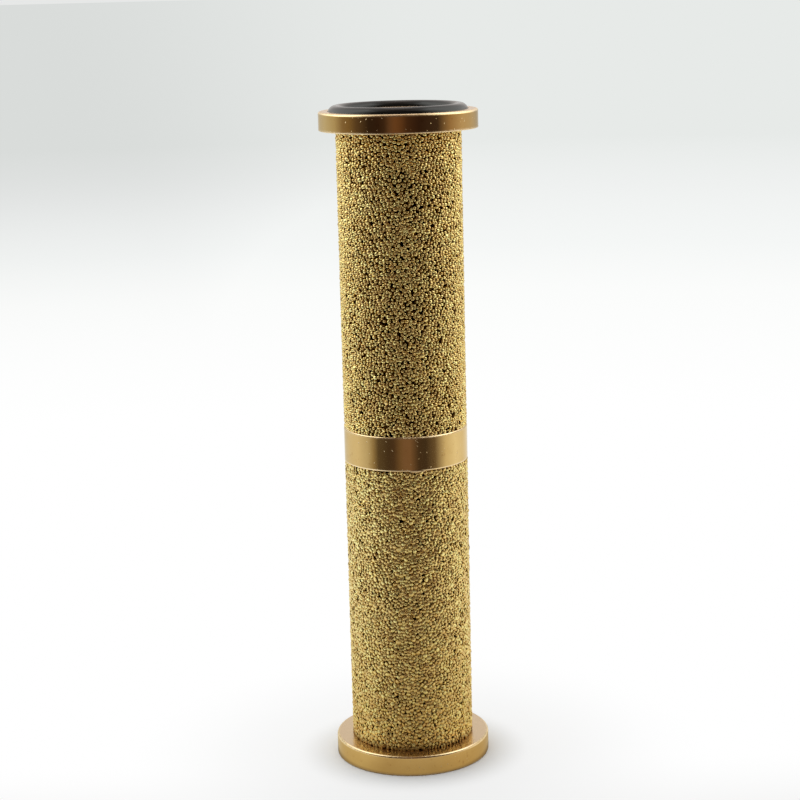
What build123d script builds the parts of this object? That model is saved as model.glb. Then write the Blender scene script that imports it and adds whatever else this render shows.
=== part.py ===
import os

from build123d import *

os.makedirs("parts", exist_ok=True)

# Hot melt filter element: two sintered bead tubes, a turned joint ring between them,
# a turned flange at each end and a seal ring let into the outlet end.
# Z runs up the filter axis from the underside of the closed end. Sizes are in millimetres.

# Filter tubes.
tube_diameter = 24.0
tube_wall = 3.0
lower_tube_length = 56.0
upper_tube_length = 57.2

# Turned brass fittings. Each has spigots that are bonded into the tube bores.
flange_overhang = 3.15
bottom_flange_thickness = 4.0
joint_ring_height = 6.8
spigot_length = 5.0
spigot_wall = 1.2
spigot_lead = 0.4
bond_gap = 0.05

# Seal ring and the groove that holds it in the face of the outlet flange.
seal_cord = 3.0
seal_stand = 1.1
seal_side_clearance = 0.05
groove_floor = 1.7
rim_land = 1.8

# Edge breaks left by turning and polishing.
flange_face_round = 0.45
flange_tube_side_round = 0.2
flange_base_round = 0.3
joint_ring_round = 0.35
outlet_mouth_chamfer = 0.3

# Radii that follow from the sizes above.
tube_radius = tube_diameter / 2
tube_bore_radius = tube_radius - tube_wall
spigot_radius = tube_bore_radius - bond_gap
channel_radius = spigot_radius - spigot_wall
flange_radius = tube_radius + flange_overhang
groove_outer_radius = flange_radius - rim_land
groove_width = seal_cord + 2 * seal_side_clearance
groove_inner_radius = groove_outer_radius - groove_width
seal_radius = (groove_outer_radius + groove_inner_radius) / 2

# Levels up the axis, one piece standing on the next.
groove_depth = seal_cord - seal_stand
top_flange_thickness = groove_depth + groove_floor
lower_tube_base = bottom_flange_thickness
joint_ring_base = lower_tube_base + lower_tube_length
upper_tube_base = joint_ring_base + joint_ring_height
top_flange_base = upper_tube_base + upper_tube_length
outlet_face = top_flange_base + top_flange_thickness
seal_level = outlet_face - groove_depth + seal_cord / 2


# Closed end: a solid turned disc with a ring-shaped spigot standing on it.
with BuildPart() as bottom_flange:
    with BuildSketch():
        Circle(flange_radius)
    extrude(amount=bottom_flange_thickness)
    rims = bottom_flange.edges().group_by(Axis.Z)
    fillet(rims[0], flange_base_round)
    fillet(bottom_flange.edges().group_by(Axis.Z)[-1], flange_face_round)
    with BuildSketch(Plane.XY.offset(lower_tube_base)):
        Circle(spigot_radius)
        Circle(channel_radius, mode=Mode.SUBTRACT)
    extrude(amount=spigot_length)
    spigot_end = bottom_flange.edges().group_by(Axis.Z)[-1]
    chamfer(spigot_end.sort_by(SortBy.RADIUS)[-1], spigot_lead)
bottom_flange.part.label = "bottom_flange"


# Filter tube between the closed end and the joint ring.
with BuildPart() as lower_filter_tube:
    with BuildSketch(Plane.XY.offset(lower_tube_base)):
        Circle(tube_radius)
        Circle(tube_bore_radius, mode=Mode.SUBTRACT)
    extrude(amount=lower_tube_length)
lower_filter_tube.part.label = "lower_filter_tube"


# Joint ring: a smooth band flush with the tubes, with a spigot into each of them.
with BuildPart() as joint_ring:
    with BuildSketch(Plane.XY.offset(joint_ring_base)):
        Circle(tube_radius)
    extrude(amount=joint_ring_height)
    fillet(joint_ring.edges().filter_by(GeomType.CIRCLE), joint_ring_round)
    with BuildSketch(Plane.XY.offset(joint_ring_base - spigot_length)):
        Circle(spigot_radius)
    extrude(amount=joint_ring_height + 2 * spigot_length)
    ends = joint_ring.edges().filter_by(GeomType.CIRCLE).group_by(Axis.Z)
    chamfer(ends[0] + ends[-1], spigot_lead)
    with BuildSketch(Plane.XY.offset(joint_ring_base - spigot_length)):
        Circle(channel_radius)
    extrude(amount=joint_ring_height + 2 * spigot_length, mode=Mode.SUBTRACT)
joint_ring.part.label = "joint_ring"


# Filter tube between the joint ring and the outlet flange.
with BuildPart() as upper_filter_tube:
    with BuildSketch(Plane.XY.offset(upper_tube_base)):
        Circle(tube_radius)
        Circle(tube_bore_radius, mode=Mode.SUBTRACT)
    extrude(amount=upper_tube_length)
upper_filter_tube.part.label = "upper_filter_tube"


# Outlet end: a flange with a seal groove in its face and the outlet through its spigot.
with BuildPart() as top_flange:
    with BuildSketch(Plane.XY.offset(top_flange_base)):
        Circle(flange_radius)
    extrude(amount=top_flange_thickness)
    fillet(top_flange.edges().group_by(Axis.Z)[0], flange_tube_side_round)
    fillet(top_flange.edges().group_by(Axis.Z)[-1], flange_face_round)
    with BuildSketch(Plane.XY.offset(outlet_face)):
        Circle(groove_outer_radius)
        Circle(groove_inner_radius, mode=Mode.SUBTRACT)
    extrude(amount=-groove_depth, mode=Mode.SUBTRACT)
    with BuildSketch(Plane.XY.offset(top_flange_base)):
        Circle(spigot_radius)
    extrude(amount=-spigot_length)
    chamfer(top_flange.edges().group_by(Axis.Z)[0], spigot_lead)
    with BuildSketch(Plane.XY.offset(outlet_face)):
        Circle(channel_radius)
    extrude(amount=-(top_flange_thickness + spigot_length), mode=Mode.SUBTRACT)
    face_edges = top_flange.edges().group_by(Axis.Z)[-1]
    chamfer(face_edges.sort_by(SortBy.RADIUS)[0], outlet_mouth_chamfer)
top_flange.part.label = "top_flange"


# Seal ring, lying on the groove floor and standing proud of the face around it.
with BuildPart() as o_ring:
    with BuildSketch(Plane.XZ):
        with Locations((seal_radius, seal_level)):
            Circle(seal_cord / 2)
    revolve(axis=Axis.Z)
o_ring.part.label = "o_ring"


export_step(bottom_flange.part, "parts/bottom_flange.step")
export_step(lower_filter_tube.part, "parts/lower_filter_tube.step")
export_step(joint_ring.part, "parts/joint_ring.step")
export_step(upper_filter_tube.part, "parts/upper_filter_tube.step")
export_step(top_flange.part, "parts/top_flange.step")
export_step(o_ring.part, "parts/o_ring.step")
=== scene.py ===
import math

import bmesh
import bpy
import numpy as np
from mathutils import Matrix, Vector


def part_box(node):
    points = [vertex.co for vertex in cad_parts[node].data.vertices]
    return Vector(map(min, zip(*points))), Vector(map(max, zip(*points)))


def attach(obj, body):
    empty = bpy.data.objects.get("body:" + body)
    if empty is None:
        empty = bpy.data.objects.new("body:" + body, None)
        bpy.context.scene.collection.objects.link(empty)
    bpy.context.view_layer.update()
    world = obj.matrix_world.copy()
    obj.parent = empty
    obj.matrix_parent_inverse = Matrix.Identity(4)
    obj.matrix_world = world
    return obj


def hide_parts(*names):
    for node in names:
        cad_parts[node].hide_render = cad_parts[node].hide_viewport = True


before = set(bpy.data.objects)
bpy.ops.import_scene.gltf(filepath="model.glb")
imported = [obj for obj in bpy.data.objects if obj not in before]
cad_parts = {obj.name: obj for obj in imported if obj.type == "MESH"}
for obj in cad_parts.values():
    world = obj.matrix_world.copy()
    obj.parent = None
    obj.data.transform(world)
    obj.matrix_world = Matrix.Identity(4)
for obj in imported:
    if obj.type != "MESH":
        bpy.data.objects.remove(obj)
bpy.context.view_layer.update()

# Sizes in metres.

# Sintered beads. Their tops touch the wall of the mould, at the outer radius of each tube.
bead_radius = 0.000345
bead_spread = 0.24
bead_jitter = 0.8
bead_lean = 0.25
bead_tilt = 14.0
bead_sink = 0.30
skin_cover = 0.82
inner_cover = 0.76
core_outer = 0.01075
core_inner = 0.0095
tube_outer_radius = 0.0120
tube_inner_radius = 0.0090

# Camera, fitted to the rims, the joint ring and the seal ring in the photograph.
focal_pixels = 1995.7
image_pixels = 800
camera_back = 0.38008
camera_height = 0.15016
camera_pitch = 0.20384
camera_yaw = -0.0025
camera_roll = -0.02479


# Shader maths.


class Wire:
    """An output socket. Python operators on it add Math nodes to its tree."""

    def __init__(self, finish, socket):
        self.finish = finish
        self.socket = socket

    def maths(self, operation, *values):
        node = self.finish.add("ShaderNodeMath", {"operation": operation}, dict(enumerate(values)))
        return node["Value"]

    def __add__(self, other):
        return self.maths("ADD", self, other)

    __radd__ = __add__

    def __sub__(self, other):
        return self.maths("SUBTRACT", self, other)

    def __rsub__(self, other):
        return self.maths("SUBTRACT", other, self)

    def __mul__(self, other):
        return self.maths("MULTIPLY", self, other)

    __rmul__ = __mul__

    def __truediv__(self, other):
        return self.maths("DIVIDE", self, other)

    def __pow__(self, other):
        return self.maths("POWER", self, other)

    def unsigned(self):
        return self.maths("ABSOLUTE", self)

    def least(self, other):
        return self.maths("MINIMUM", self, other)

    def most(self, other):
        return self.maths("MAXIMUM", self, other)

    def clamped(self):
        return self.most(0.0).least(1.0)


class Outputs:
    """The outputs of one node, taken by name."""

    def __init__(self, finish, node):
        self.finish = finish
        self.node = node

    def __getitem__(self, name):
        return Wire(self.finish, self.node.outputs[name])


class Finish:
    """A material, or the world, while its nodes are put together."""

    def __init__(self, owner):
        self.owner = owner
        owner.use_nodes = True
        self.tree = owner.node_tree
        self.tree.nodes.clear()

    def add(self, kind, settings=None, inputs=None):
        """Adds a node: its settings first, then the values or wires of its sockets."""
        node = self.tree.nodes.new(kind)
        for name, value in (settings or {}).items():
            if name == "stops":
                self.set_stops(node.color_ramp, value)
            else:
                setattr(node, name, value)
        for name, value in (inputs or {}).items():
            if isinstance(value, Wire):
                self.tree.links.new(value.socket, node.inputs[name])
            else:
                node.inputs[name].default_value = value
        return Outputs(self, node)

    def set_stops(self, ramp, stops):
        while len(ramp.elements) < len(stops):
            ramp.elements.new(1.0)
        for element, (position, colour) in zip(ramp.elements, stops):
            element.position = position
            element.color = (*colour, 1.0)

    def ramp(self, factor, *stops, smooth=True):
        """A colour that changes with a factor, through stops of position and colour."""
        settings = {"stops": stops}
        node = self.add("ShaderNodeValToRGB", settings, {"Fac": factor})
        node.node.color_ramp.interpolation = "EASE" if smooth else "LINEAR"
        return node["Color"]

    def level(self, factor, low, high, start=0.0, end=1.0):
        """A factor from low to high turned into a value from start to end, held at both."""
        inputs = {"Value": factor, "From Min": low, "From Max": high, "To Min": start, "To Max": end}
        return self.add("ShaderNodeMapRange", {"interpolation_type": "SMOOTHSTEP"}, inputs)["Result"]

    def mixed(self, factor, first, second, blend="MIX"):
        """Two colours mixed by a factor. In a Mix node, sockets 6 and 7 are its colours."""
        settings = {"data_type": "RGBA", "blend_type": blend}
        node = self.add("ShaderNodeMix", settings, {0: factor, 6: first, 7: second})
        return Wire(self, node.node.outputs[2])

    def place(self):
        return self.add("ShaderNodeTexCoord")["Object"]

    def across(self, place):
        """The distance of a place from the filter axis."""
        flat = self.add("ShaderNodeVectorMath", {"operation": "MULTIPLY"}, {0: place, 1: (1, 1, 0)})["Vector"]
        return self.add("ShaderNodeVectorMath", {"operation": "LENGTH"}, {0: flat})["Value"]

    def edge_distance(self, radius, level, foot, head, rim):
        """How far a place is from the nearer of two round edges, at the levels foot and head and the radius rim."""
        aside = (rim - radius).most(0.0)
        below = (level - foot).unsigned()
        above = (level - head).unsigned()
        up = below.least(above)
        return (aside * aside + up * up) ** 0.5

    def noise(self, place, scale, detail=2.0, roughness=0.5):
        inputs = {"Vector": place, "Scale": scale, "Detail": detail, "Roughness": roughness}
        return self.add("ShaderNodeTexNoise", None, inputs)["Fac"]

    def nicks_and_glints(self, place, lean, scale, chance):
        """Marks of 1 on 0, each three times as long as wide and leaning by an angle, in a share of the cells."""
        settings = {"vector_type": "TEXTURE"}
        laid = self.add("ShaderNodeMapping", settings, {"Vector": place, "Rotation": (0, lean, 0), "Scale": (1, 1, 3)})
        cells = self.add("ShaderNodeTexVoronoi", {"feature": "F1"}, {"Vector": laid["Vector"], "Scale": scale})
        pick = self.add("ShaderNodeSeparateColor", None, {0: cells["Color"]})["Red"]
        return self.level(cells["Distance"], 0.13, 0.03) * self.level(pick - 1.0 + chance, 0.0, 0.02)

    def close(self, shader):
        kind = "ShaderNodeOutputWorld" if isinstance(self.owner, bpy.types.World) else "ShaderNodeOutputMaterial"
        self.add(kind, None, {"Surface": shader})
        return self.owner


def linear(red, green, blue):
    """A colour written as it shows on screen, 0 to 255, as the renderer's own colour."""
    shown = [value / 255 for value in (red, green, blue)]
    return tuple(value / 12.92 if value <= 0.04045 else ((value + 0.055) / 1.055) ** 2.4 for value in shown)


def opaque(colour):
    return (*colour, 1.0)


# Materials.


def turned_brass(name, foot, head, rim):
    """Brass turned on a lathe and polished, with painted highlights on its edges and small marks and a painted
    reflection on its end faces. Foot, head and rim are the levels and radius of its edges, dulled by handling.
    """
    finish = Finish(bpy.data.materials.new(name))
    place = finish.place()
    apart = finish.add("ShaderNodeSeparateXYZ", None, {0: place})
    radius = finish.across(place)
    edge = finish.edge_distance(radius, apart["Z"], foot, head, rim)

    cloud = finish.noise(place, 240.0, 3.0, 0.6)
    tint = finish.mixed(cloud, opaque(linear(222, 188, 122)), opaque(linear(238, 208, 146)))
    stain = finish.level(finish.noise(place, 800.0, 4.0, 0.75), 0.60, 0.72)
    tint = finish.mixed(stain * 0.45, tint, opaque(linear(176, 128, 70)))

    # The end faces are duller than the polished walls, and painted paler and pinker: a painted reflection of the pale
    # surroundings.
    off_face = (apart["Z"] - foot).unsigned().least((apart["Z"] - head).unsigned())
    face = finish.level(off_face, 0.00006, 0.00001)
    tint = finish.mixed(face * 0.8, tint, opaque(linear(232, 202, 168)))

    # Edges dulled by handling and painted pale cream: partly bare metal from wear, partly a painted highlight along
    # the edge lines.
    edge_wear_and_highlight = finish.level(edge, 0.00055, 0.00020)
    rubbed_wear_and_highlight = finish.level(finish.noise(place, 1500.0, 3.0, 0.7), 0.40, 0.60) * edge_wear_and_highlight
    tint = finish.mixed(edge_wear_and_highlight * 0.5 + rubbed_wear_and_highlight * 0.4, tint, opaque(linear(252, 230, 190)))

    # Nicks and short scratches, most of them near the edges. They lean one way or the other. Their dents are a bump,
    # and their near-white colour is a painted glint of light caught in them.
    chance = finish.level(edge, 0.0, 0.0012, 0.8, 0.45)
    nicks_and_glints = finish.nicks_and_glints(place, 0.6, 1300.0, chance).most(finish.nicks_and_glints(place, -0.9, 1700.0, chance))
    tint = finish.mixed(nicks_and_glints * 0.6, tint, opaque(linear(255, 240, 220)))

    # Turning lines run round the axis, a few hundredths of a millimetre apart, and fade in and out.
    lathe = finish.add("ShaderNodeCombineXYZ", None, {0: radius, 1: 0.0, 2: apart["Z"]})["Vector"]
    lines = finish.noise(lathe, 9000.0, 1.0)
    fade = finish.level(finish.noise(place, 300.0, 2.0), 0.35, 0.65)
    wobble = finish.noise(place, 420.0, 2.0)
    height = lines * fade * 0.06 + wobble * 0.30
    bump = finish.add("ShaderNodeBump", None, {"Strength": 0.10, "Distance": 0.0002, "Height": height})
    pitted = finish.add(
        "ShaderNodeBump",
        None,
        {"Strength": 0.6, "Distance": 0.00005, "Height": 1 - nicks_and_glints, "Normal": bump["Normal"]},
    )
    rough = (0.055 + cloud * 0.05 + edge_wear_and_highlight * 0.12 + rubbed_wear_and_highlight * 0.12 + nicks_and_glints * 0.1 + face * 0.16).clamped()
    surface = finish.add(
        "ShaderNodeBsdfPrincipled",
        None,
        {"Base Color": tint, "Metallic": 1.0, "Roughness": rough, "Normal": pitted["Normal"]},
    )
    return finish.close(surface["BSDF"])


def sintered_bronze():
    """Bead surface: bright tops, with painted shade on the shoulders, in the pores, which the light hardly leaves, and
    at the foot of the lower tube.
    """
    finish = Finish(bpy.data.materials.new("sintered_bronze"))
    place = finish.place()
    radius = finish.across(place)
    depth = (tube_outer_radius - radius).least(radius - tube_inner_radius)
    tone = finish.add("ShaderNodeAttribute", {"attribute_name": "bead_tone"})["Fac"]
    tint = finish.ramp(
        tone,
        (0.0, linear(234, 204, 134)),
        (0.5, linear(246, 222, 147)),
        (1.0, linear(254, 240, 164)),
    )
    edge = finish.add("ShaderNodeAttribute", {"attribute_name": "bead_edge"})["Fac"]
    # Painted shade: each bead darker and browner down its shoulders, where it sinks among its neighbours.
    shoulder_shade = finish.mixed(1.0, tint, opaque((0.80, 0.64, 0.34)), "MULTIPLY")
    tint = finish.mixed(finish.level(edge, 0.2, 0.9), tint, shoulder_shade)
    # Painted shade deep in the pores and on the layers behind the skin, with some dark oxide; it weakens lower down
    # the tubes, to a fifth at the foot, where the floor's light reaches in.
    pore_dark_tint = finish.mixed(1.0, tint, opaque((0.30, 0.18, 0.03)), "MULTIPLY")
    height = finish.add("ShaderNodeSeparateXYZ", None, {0: place})["Z"]
    pore_oxide_and_shade = finish.level(depth, 0.00030, 0.00060) * finish.level(height, 0.01, 0.09, 0.2, 1.0)
    tint = finish.mixed(pore_oxide_and_shade, tint, pore_dark_tint)
    # Painted shade at the foot of the lower tube, where it stands on the closed end.
    foot_shade = finish.level(height, 0.0055, 0.0041, 0.0, 0.6)
    tint = finish.mixed(foot_shade, tint, opaque(linear(120, 84, 40)))
    lumps = finish.noise(place, 3600.0, 2.0, 0.6)
    bump = finish.add("ShaderNodeBump", None, {"Strength": 0.7, "Distance": 0.00012, "Height": lumps})
    rough = finish.level(height, 0.0, 0.075, 0.42, 0.06)
    surface = finish.add(
        "ShaderNodeBsdfPrincipled",
        None,
        {"Base Color": tint, "Metallic": 1.0, "Roughness": rough, "Normal": bump["Normal"]},
    )
    return finish.close(surface["BSDF"])


def seal_rubber():
    finish = Finish(bpy.data.materials.new("seal_rubber"))
    place = finish.place()
    bloom = finish.noise(place, 300.0, 4.0)
    tint = finish.mixed(bloom, opaque(linear(9, 9, 8)), opaque(linear(20, 20, 18)))
    grain = finish.noise(place, 6000.0, 2.0)
    bump = finish.add("ShaderNodeBump", None, {"Strength": 0.15, "Distance": 0.00005, "Height": grain})
    surface = finish.add(
        "ShaderNodeBsdfPrincipled",
        None,
        {"Base Color": tint, "Roughness": 0.13, "Specular IOR Level": 0.4, "Normal": bump["Normal"]},
    )
    return finish.close(surface["BSDF"])


# Beads.


def close_pairs(spots, turn, height, reach):
    """Pairs of spots on an unrolled wall that lie within reach of each other, found through a grid."""
    columns = int(turn / reach)
    rows = int(height / reach) + 1
    slots = 8
    column = (spots[:, 0] / turn * columns).astype(int) % columns
    row = (spots[:, 1] / height * rows).astype(int).clip(0, rows - 1)
    cell = (row + 1) * columns + column
    order = np.argsort(cell, kind="stable")
    ordered = cell[order]
    rank = np.arange(len(spots)) - np.searchsorted(ordered, ordered)
    table = np.full(((rows + 2) * columns, slots), -1)
    kept = rank < slots
    table[ordered[kept], rank[kept]] = order[kept]
    firsts, seconds = [], []
    for down, across in ((0, 0), (0, 1), (1, -1), (1, 0), (1, 1)):
        near = table[(row + 1 + down) * columns + (column + across) % columns]
        first = np.repeat(np.arange(len(spots)), slots)
        second = near.ravel()
        real = second >= 0
        if (down, across) == (0, 0):
            real &= second > first
        firsts.append(first[real])
        seconds.append(second[real])
    return np.concatenate(firsts), np.concatenate(seconds)


def crowd(rng, turn, height, size, cover, margin):
    """Centres of round beads on an unrolled wall, pushed apart until they lie as a dense, uneven crowd."""
    pitch = size * math.sqrt(math.pi * (1 + bead_spread**2) / (cover * math.sqrt(0.75)))
    columns = round(turn / pitch)
    rows = round(height / (pitch * math.sqrt(0.75)))
    row, column = np.divmod(np.arange(columns * rows), columns)
    count = len(row)
    radii = size * (1 + bead_spread * rng.standard_normal(count).clip(-2, 2))
    spots = np.stack(((column + 0.5 * (row % 2)) / columns * turn, (row + 0.5) / rows * height), axis=1)
    spots += rng.uniform(-pitch, pitch, (count, 2)) * bead_jitter
    spots[:, 0] %= turn
    spots[:, 1] = spots[:, 1].clip(0, height)
    for lap in range(6):
        first, second = close_pairs(spots, turn, height, 2.5 * size)
        touching = radii[first] + radii[second]
        for step in range(6):
            apart = spots[first] - spots[second]
            apart[:, 0] -= turn * np.round(apart[:, 0] / turn)
            distance = np.maximum(np.hypot(apart[:, 0], apart[:, 1]), size * 0.01)
            overlap = np.maximum(touching - distance, 0)
            push = apart * (0.4 * overlap / distance)[:, None]
            for axis in (0, 1):
                spots[:, axis] += np.bincount(first, push[:, axis], count)
                spots[:, axis] -= np.bincount(second, push[:, axis], count)
            spots[:, 0] %= turn
            spots[:, 1] = spots[:, 1].clip(radii * margin, height - radii * margin)
    return spots, radii


def bead_dome(sides):
    """The outer half of a ball of radius 1, its top towards +Z."""
    ball = bmesh.new()
    bmesh.ops.create_uvsphere(ball, u_segments=sides, v_segments=4, radius=1.0)
    hidden = [vertex for vertex in ball.verts if vertex.co.z < -0.1]
    bmesh.ops.delete(ball, geom=hidden, context="VERTS")
    bmesh.ops.triangulate(ball, faces=ball.faces)
    dome = bpy.data.meshes.new("dome")
    ball.to_mesh(dome)
    ball.free()
    return dome


def ball_points(dome):
    points = np.zeros(len(dome.vertices) * 3, np.float32)
    dome.vertices.foreach_get("co", points)
    return points


def lay_beads(skin, rng, dome, low, high, wall, facing, cover, flat, press, margin=0.8):
    """Adds beads to a skin on a round wall. Facing is 1 for beads that look outwards, -1 for inwards. Flat is how
    high they stand and press how wide they are, both against a loose round bead."""
    centre_line = wall - facing * bead_radius
    turn = 2 * math.pi * centre_line
    spots, radii = crowd(rng, turn, high - low, bead_radius, cover, margin)
    resting = ball_points(dome)
    turns = rng.random(len(spots)) * 2 * math.pi
    sinks = rng.random(len(spots)) ** 2 * bead_sink
    shapes = 1 + bead_lean * rng.uniform(-1, 1, (len(spots), 3))
    tilts = math.radians(bead_tilt) * rng.standard_normal((len(spots), 2)).clip(-2, 2)
    outward = Matrix.Rotation(math.radians(90 * facing), 4, "Y")
    slopes = []
    for (along, up), radius, spin, sink, shape, tilt in zip(spots, radii, turns, sinks, shapes, tilts):
        wide, long, tall = radius * shape * (press, press, flat)
        distance = wall - facing * (tall + radius * sink)
        place = (
            Matrix.Rotation(along / centre_line, 4, "Z")
            @ Matrix.Translation((distance, 0, low + up))
            @ outward
            @ Matrix.Rotation(tilt[0], 4, "X")
            @ Matrix.Rotation(tilt[1], 4, "Y")
            @ Matrix.Rotation(spin, 4, "Z")
            @ Matrix.Diagonal((wide, long, tall, 1))
        )
        dome.vertices.foreach_set("co", resting)
        dome.transform(place)
        skin.from_mesh(dome)
        slopes.append(place.to_3x3().inverted().transposed())
    dome.vertices.foreach_set("co", resting)
    return slopes


def ring_wall(body, radius, low, high, sides):
    """Adds a plain open wall to a mesh, facing away from the axis."""
    foot = body.verts.new((radius, 0, low))
    head = body.verts.new((radius, 0, high))
    line = body.edges.new((foot, head))
    bmesh.ops.spin(
        body,
        geom=[foot, head, line],
        axis=(0, 0, 1),
        cent=(0, 0, 0),
        angle=2 * math.pi,
        steps=sides,
        use_merge=True,
    )


def finished_piece(name, shape, material):
    mesh = bpy.data.meshes.new(name)
    shape.to_mesh(mesh)
    shape.free()
    mesh.materials.append(material)
    mesh.shade_smooth()
    piece = bpy.data.objects.new(name, mesh)
    bpy.context.scene.collection.objects.link(piece)
    return piece


def round_beads(piece, rng, slopes, dome, start=0):
    """Gives each bead the normals of a true ball, a tone of its own, and each point's depth below the bead's top."""
    mesh = piece.data
    ball = ball_points(dome).reshape(-1, 3)
    normals = ball_points(mesh).reshape(-1, 3) * (1, 1, 0)
    normals[start:] = np.einsum("nij,kj->nki", np.array(slopes), ball).reshape(-1, 3)
    normals /= np.maximum(np.linalg.norm(normals, axis=1, keepdims=True), 1e-9)
    tones = np.zeros(len(normals), np.float32)
    tones[start:] = np.repeat(rng.random(len(slopes)), len(ball))
    edges = np.ones(len(normals), np.float32)
    edges[start:] = np.tile(1 - ball[:, 2], len(slopes))
    mesh.attributes.new("bead_tone", "FLOAT", "POINT").data.foreach_set("value", tones)
    mesh.attributes.new("bead_edge", "FLOAT", "POINT").data.foreach_set("value", edges)
    mesh.normals_split_custom_set_from_vertices(normals)


def beaded_tube(name, node, seed, bronze, flat, press, backing):
    """The pieces that stand for a filter tube: its outer skin of beads, and two layers behind it. Flat and press
    shape the beads, and backing is how deep the second layer lies under the tops of the first, in bead radii."""
    rng = np.random.default_rng(seed)
    low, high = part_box(node)
    wall = high.x
    dome = bead_dome(7)
    skin = bmesh.new()
    slopes = lay_beads(skin, rng, dome, low.z, high.z, wall, 1, skin_cover, flat, press)
    piece = finished_piece(name + "_skin", skin, bronze)
    round_beads(piece, rng, slopes, dome)
    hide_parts(node)
    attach(piece, "root")
    print(name, len(slopes), "beads", len(piece.data.polygons), "triangles")

    small_dome = bead_dome(5)
    for part, line, level, facing in (
        ("core", core_outer, wall - backing * bead_radius, 1),
        ("bore", core_inner, tube_inner_radius, -1),
    ):
        layer = bmesh.new()
        ring_wall(layer, line, low.z, high.z, 96)
        wall_points = len(layer.verts)
        slopes = lay_beads(layer, rng, small_dome, low.z, high.z, level, facing, inner_cover, flat, press)
        back = finished_piece(name + "_" + part, layer, bronze)
        round_beads(back, rng, slopes, small_dome, wall_points)
        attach(back, "root")
        print(name, part, len(slopes), "beads", len(back.data.polygons), "triangles")


def joint_burrs(low, high, radius, material):
    """Small rolled burrs that the turning tool left on the edges of the joint ring."""
    drops = bmesh.new()
    for degrees, level, wide, tall in (
        (9.0, low + 0.00022, 0.00150, 0.00042),
        (14.5, low + 0.00014, 0.00070, 0.00026),
        (-1.0, high - 0.00012, 0.00045, 0.00020),
        (3.0, high - 0.00010, 0.00040, 0.00024),
        (7.5, high - 0.00014, 0.00050, 0.00018),
        (-96.0, low + 0.00016, 0.00080, 0.00026),
        (150.0, high - 0.00014, 0.00090, 0.00024),
    ):
        place = (
            Matrix.Rotation(math.radians(degrees - 90), 4, "Z")
            @ Matrix.Translation((radius - 0.00022, 0, level))
            @ Matrix.Diagonal((0.00026, wide, tall, 1))
        )
        bmesh.ops.create_uvsphere(drops, u_segments=20, v_segments=12, radius=1.0, matrix=place)
    piece = finished_piece("joint_burrs", drops, material)
    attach(piece, "root")


# Studio.


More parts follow.
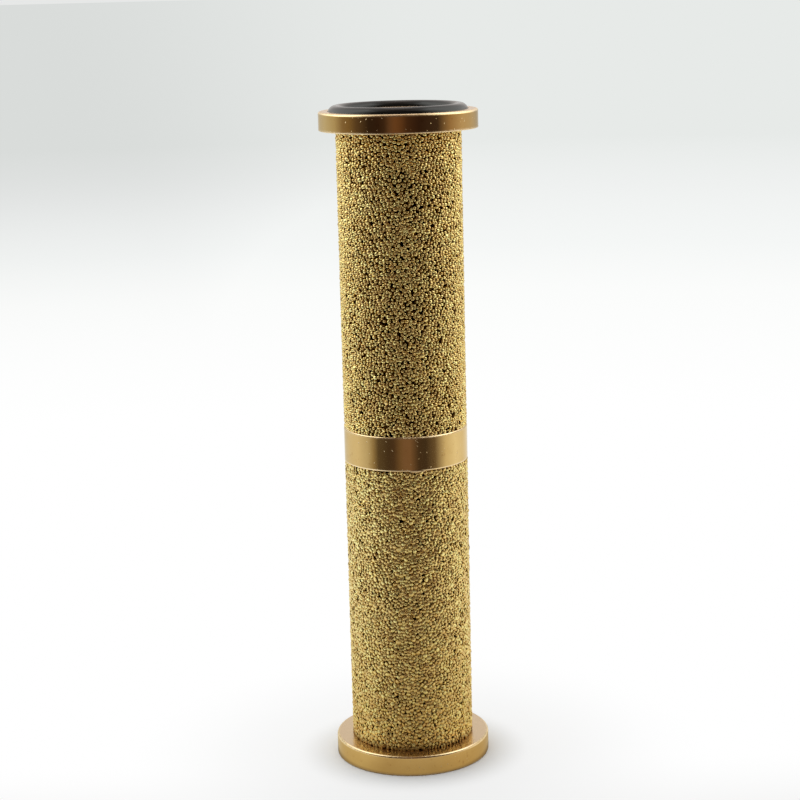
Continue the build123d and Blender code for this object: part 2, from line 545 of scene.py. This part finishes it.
def studio_floor():
    """A round pale floor. Far from the object a glow takes over from the lit floor: painted light that greys towards
    the horizon. Reflections see a glow of their own, with painted shade and light round the object.
    """
    disc = bmesh.new()
    bmesh.ops.create_circle(disc, cap_ends=True, segments=128, radius=40.0)
    mesh = bpy.data.meshes.new("floor")
    disc.to_mesh(mesh)
    disc.free()
    floor = bpy.data.objects.new("floor", mesh)
    bpy.context.scene.collection.objects.link(floor)

    finish = Finish(bpy.data.materials.new("floor"))
    place = finish.place()
    apart = finish.add("ShaderNodeSeparateXYZ", None, {0: place})
    distance = finish.add("ShaderNodeVectorMath", {"operation": "LENGTH"}, {0: place})["Value"]
    # What the camera sees far out: a glow, painted light that greys towards the horizon.
    far = finish.ramp(
        (distance / 2.0).clamped(),
        (0.0, linear(255, 255, 255)),
        (0.17, linear(255, 255, 255)),
        (0.31, linear(251, 252, 251)),
        (0.40, linear(245, 247, 246)),
        (0.57, linear(239, 241, 240)),
        (0.82, linear(231, 234, 232)),
        smooth=False,
    )
    # Painted shade: the far floor to the left a little darker.
    aside = finish.level(apart["X"] / distance, -0.19, 0.03) + finish.level(distance, 0.4, 1.4, 1.0, 0.0)
    far = finish.mixed(aside.clamped(), finish.mixed(1.0, far, opaque((0.87, 0.87, 0.87)), "MULTIPLY"), far)
    # Painted shadow: the floor in front of the object a little darker.
    near = finish.level(apart["Y"], -0.05, -0.005)
    far = finish.mixed(near, finish.mixed(1.0, far, opaque((0.885, 0.885, 0.88)), "MULTIPLY"), far)
    matt = finish.add("ShaderNodeBsdfDiffuse", None, {"Color": opaque((0.81, 0.825, 0.84))})
    # What reflections see of the floor, a glow with painted light and shade: dark at the object's foot, warm bounce
    # light close round it, a painted shadow in front, and painted light, brighter and cooler, to the left and brighter
    # to the right.
    mirrored = finish.ramp(
        (distance * 10.0).clamped(),
        (0.150, (0.16, 0.12, 0.07)),
        (0.170, (0.46, 0.38, 0.24)),
        (0.30, (0.60, 0.52, 0.38)),
        (0.70, (0.85, 0.82, 0.78)),
        (1.0, (0.88, 0.88, 0.87)),
    )
    ahead = finish.level(apart["Y"] / distance, -0.4, -0.95)
    dim = finish.mixed(finish.level(distance, 0.03, 0.10), opaque((0.93, 0.92, 0.92)), opaque((0.36, 0.34, 0.32)))
    mirrored = finish.mixed(ahead, mirrored, finish.mixed(1.0, mirrored, dim, "MULTIPLY"))
    left = finish.level(apart["X"] / distance, -0.35, -0.85)
    mirrored = finish.mixed(left, mirrored, finish.mixed(1.0, mirrored, opaque((1.32, 1.40, 1.50)), "MULTIPLY"))
    right = finish.level(apart["X"] / distance, 0.25, 0.75)
    mirrored = finish.mixed(right, mirrored, finish.mixed(1.0, mirrored, opaque((1.18, 1.16, 1.12)), "MULTIPLY"))
    rays = finish.add("ShaderNodeLightPath")
    glow = finish.mixed(rays["Is Glossy Ray"], far, mirrored)
    shown = finish.add("ShaderNodeEmission", None, {"Color": glow, "Strength": 1.0})
    # Next to the object the camera sees the lit floor with its real shadow; from 16 mm out more and more of the glow,
    # painted light that narrows the shadow.
    lit = finish.level(distance, 0.0155, 0.024, 0.0, 0.66) + finish.level(distance, 0.022, 0.06, 0.0, 0.34)
    share = rays["Is Camera Ray"] * lit + rays["Is Glossy Ray"] * 0.92
    surface = finish.add("ShaderNodeMixShader", None, {0: share, 1: matt["BSDF"], 2: shown["Emission"]})
    mesh.materials.append(finish.close(surface["Shader"]))
    return floor


def reflected_only(name, shape, material):
    """A stage piece that only reflections see."""
    piece = finished_piece(name, shape, material)
    piece.visible_camera = False
    piece.visible_diffuse = False
    piece.visible_shadow = False
    piece.visible_transmission = False


def painted_reflection_wall():
    """A round wall that only reflections see, glowing though it is no lamp: painted reflections, pale at the sides and
    back, dark in front, with a dim warm strip.
    """
    reach = 0.20
    height = 0.55
    sheet = bmesh.new()
    ring_wall(sheet, reach, 0.0, height, 96)
    finish = Finish(bpy.data.materials.new("painted_reflection_wall"))
    apart = finish.add("ShaderNodeSeparateXYZ", None, {0: finish.place()})
    angle = apart["X"].maths("ARCTAN2", apart["X"], 0.0 - apart["Y"]) * (0.5 / math.pi) + 0.5
    low_side = (
        (-180, (0.88, 0.88, 0.86)),
        (-150, (0.72, 0.70, 0.60)),
        (-130, (0.78, 0.76, 0.67)),
        (-100, (0.80, 0.78, 0.72)),
        (-74, (0.57, 0.54, 0.47)),
        (-62, (0.34, 0.28, 0.19)),
        (-52, (0.115, 0.090, 0.065)),
        (-32, (0.068, 0.048, 0.036)),
        (-22, (0.078, 0.050, 0.037)),
        (-10, (0.17, 0.11, 0.07)),
        (-4, (0.20, 0.125, 0.09)),
        (7, (0.208, 0.129, 0.0925)),
        (12, (0.16, 0.100, 0.07)),
        (22, (0.068, 0.046, 0.034)),
        (36, (0.060, 0.042, 0.032)),
        (54, (0.16, 0.120, 0.085)),
        (65, (0.43, 0.38, 0.31)),
        (77, (0.74, 0.69, 0.58)),
        (103, (0.92, 0.90, 0.82)),
        (128, (0.84, 0.80, 0.68)),
        (180, (0.88, 0.88, 0.86)),
    )
    high_side = (
        (-180, (0.75, 0.75, 0.75)),
        (-150, (0.56, 0.54, 0.46)),
        (-125, (0.60, 0.59, 0.53)),
        (-100, (0.51, 0.47, 0.38)),
        (-84, (0.27, 0.20, 0.13)),
        (-73, (0.23, 0.16, 0.085)),
        (-60, (0.115, 0.076, 0.05)),
        (-41, (0.033, 0.020, 0.016)),
        (-28, (0.034, 0.018, 0.014)),
        (-19, (0.050, 0.028, 0.020)),
        (-12, (0.12, 0.066, 0.045)),
        (-5, (0.155, 0.076, 0.043)),
        (4, (0.12, 0.058, 0.032)),
        (12, (0.06, 0.030, 0.020)),
        (28, (0.033, 0.017, 0.014)),
        (56, (0.05, 0.032, 0.028)),
        (77, (0.36, 0.25, 0.16)),
        (101, (0.56, 0.46, 0.36)),
        (125, (0.57, 0.51, 0.44)),
        (150, (0.46, 0.44, 0.40)),
        (180, (0.75, 0.75, 0.75)),
    )
    open_side = (
        (-180, (0.40, 0.37, 0.36)),
        (-150, (0.42, 0.40, 0.39)),
        (-120, (0.80, 0.80, 0.78)),
        (-95, (1.1, 1.1, 1.07)),
        (-72, (0.70, 0.70, 0.68)),
        (-50, (0.13, 0.11, 0.10)),
        (-36, (0.05, 0.035, 0.03)),
        (36, (0.05, 0.035, 0.03)),
        (50, (0.13, 0.11, 0.10)),
        (72, (0.70, 0.70, 0.68)),
        (95, (1.1, 1.1, 1.07)),
        (120, (0.80, 0.80, 0.78)),
        (150, (0.42, 0.40, 0.39)),
        (180, (0.40, 0.37, 0.36)),
    )
    sides = []
    for side in (low_side, high_side, open_side):
        stops = [((degrees + 180) / 360, colour) for degrees, colour in side]
        sides.append(finish.ramp(angle, *stops, smooth=False))
    glow = finish.mixed(finish.level(apart["Z"], 0.035, 0.10), sides[0], sides[1])
    open_glow = finish.mixed(1.0, sides[2], opaque((2.1, 2.1, 2.05)), "MULTIPLY")
    glow = finish.mixed(finish.level(apart["Z"], 0.12, 0.17), glow, open_glow)
    shown = finish.add("ShaderNodeEmission", None, {"Color": glow, "Strength": 1.0})
    reflected_only("painted_reflection_wall", sheet, finish.close(shown["Emission"]))


def painted_reflection_roof():
    """A flat roof over the round wall, again for reflections only and glowing though it is no lamp: painted
    reflections, warm and dim over the front, white aside.
    """
    disc = bmesh.new()
    bmesh.ops.create_circle(disc, cap_ends=True, segments=96, radius=0.20)
    bmesh.ops.translate(disc, verts=disc.verts, vec=(0, 0, 0.55))
    finish = Finish(bpy.data.materials.new("painted_reflection_roof"))
    apart = finish.add("ShaderNodeSeparateXYZ", None, {0: finish.place()})
    glow = finish.ramp(
        (apart["X"].unsigned() * 5.0).clamped(),
        (0.0, (0.26, 0.19, 0.16)),
        (0.35, (0.42, 0.33, 0.28)),
        (1.0, (1.0, 0.98, 0.94)),
        smooth=False,
    )
    # A bright pinkish spot behind the axis: a painted highlight along the seal's crest and the brass edges.
    spot = finish.add("ShaderNodeVectorMath", {"operation": "DISTANCE"}, {0: finish.place(), 1: (0.0, 0.14, 0.55)})
    glow = finish.mixed(finish.level(spot["Value"], 0.11, 0.03), glow, opaque((1.6, 1.34, 1.20)))
    shown = finish.add("ShaderNodeEmission", None, {"Color": glow, "Strength": 1.0})
    reflected_only("painted_reflection_roof", disc, finish.close(shown["Emission"]))


def soft_lamp(name, place, aim, size, power):
    data = bpy.data.lights.new(name, "AREA")
    data.shape = "RECTANGLE"
    data.size, data.size_y = size
    data.energy = power
    lamp = bpy.data.objects.new(name, data)
    bpy.context.scene.collection.objects.link(lamp)
    lamp.visible_glossy = False
    lamp.location = place
    lamp.rotation_euler = (Vector(aim) - Vector(place)).to_track_quat("-Z", "Y").to_euler()


def studio_light():
    world = bpy.data.worlds.new("studio")
    bpy.context.scene.world = world
    finish = Finish(world)
    rays = finish.add("ShaderNodeLightPath")
    colour = finish.mixed(rays["Is Camera Ray"], opaque((0.62, 0.62, 0.61)), opaque(linear(231, 232, 231)))
    glow = finish.add("ShaderNodeBackground", None, {"Color": colour, "Strength": 1.0})
    finish.close(glow["Background"])
    soft_lamp("top", (-0.15, 0.20, 0.65), (0, 0, 0.06), (1.3, 1.3), 4.6)


def studio_camera():
    data = bpy.data.cameras.new("camera")
    data.sensor_width = 36.0
    data.lens = focal_pixels * data.sensor_width / image_pixels
    data.clip_start, data.clip_end = 0.01, 50.0
    camera = bpy.data.objects.new("camera", data)
    bpy.context.scene.collection.objects.link(camera)
    ahead = Vector((
        math.sin(camera_yaw) * math.cos(camera_pitch),
        math.cos(camera_yaw) * math.cos(camera_pitch),
        -math.sin(camera_pitch),
    ))
    side = Vector((math.cos(camera_yaw), -math.sin(camera_yaw), 0))
    lean = Matrix.Rotation(camera_roll, 3, -ahead)
    side = lean @ side
    above = side.cross(ahead)
    camera.matrix_world = Matrix.Translation((0, -camera_back, camera_height)) @ Matrix((
        (side.x, above.x, -ahead.x),
        (side.y, above.y, -ahead.y),
        (side.z, above.z, -ahead.z),
    )).to_4x4()
    bpy.context.scene.camera = camera


bronze = sintered_bronze()
rubber = seal_rubber()

# Levels at which one piece stands on the next, taken from the frame.
lower_tube_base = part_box("lower_filter_tube")[0].z
lower_tube_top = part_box("lower_filter_tube")[1].z
upper_tube_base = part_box("upper_filter_tube")[0].z
upper_tube_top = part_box("upper_filter_tube")[1].z
outlet_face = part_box("top_flange")[1].z
flange_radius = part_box("top_flange")[1].x

joint_brass = turned_brass("joint_brass", lower_tube_top, upper_tube_base, tube_outer_radius)
for node, material in (
    ("bottom_flange", turned_brass("closed_end_brass", 0.0, lower_tube_base, flange_radius)),
    ("joint_ring", joint_brass),
    ("top_flange", turned_brass("outlet_brass", upper_tube_top, outlet_face, flange_radius)),
    ("o_ring", rubber),
):
    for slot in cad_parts[node].material_slots:
        slot.material = material

beaded_tube("lower_tube", "lower_filter_tube", 11, bronze, 0.60, 1.20, 0.7)
beaded_tube("upper_tube", "upper_filter_tube", 12, bronze, 0.9, 1.12, 1.6)

joint_burrs(lower_tube_top, upper_tube_base, tube_outer_radius, joint_brass)

studio_camera()
studio_floor()
painted_reflection_wall()
painted_reflection_roof()
studio_light()

bpy.context.scene.view_settings.view_transform = "Standard"
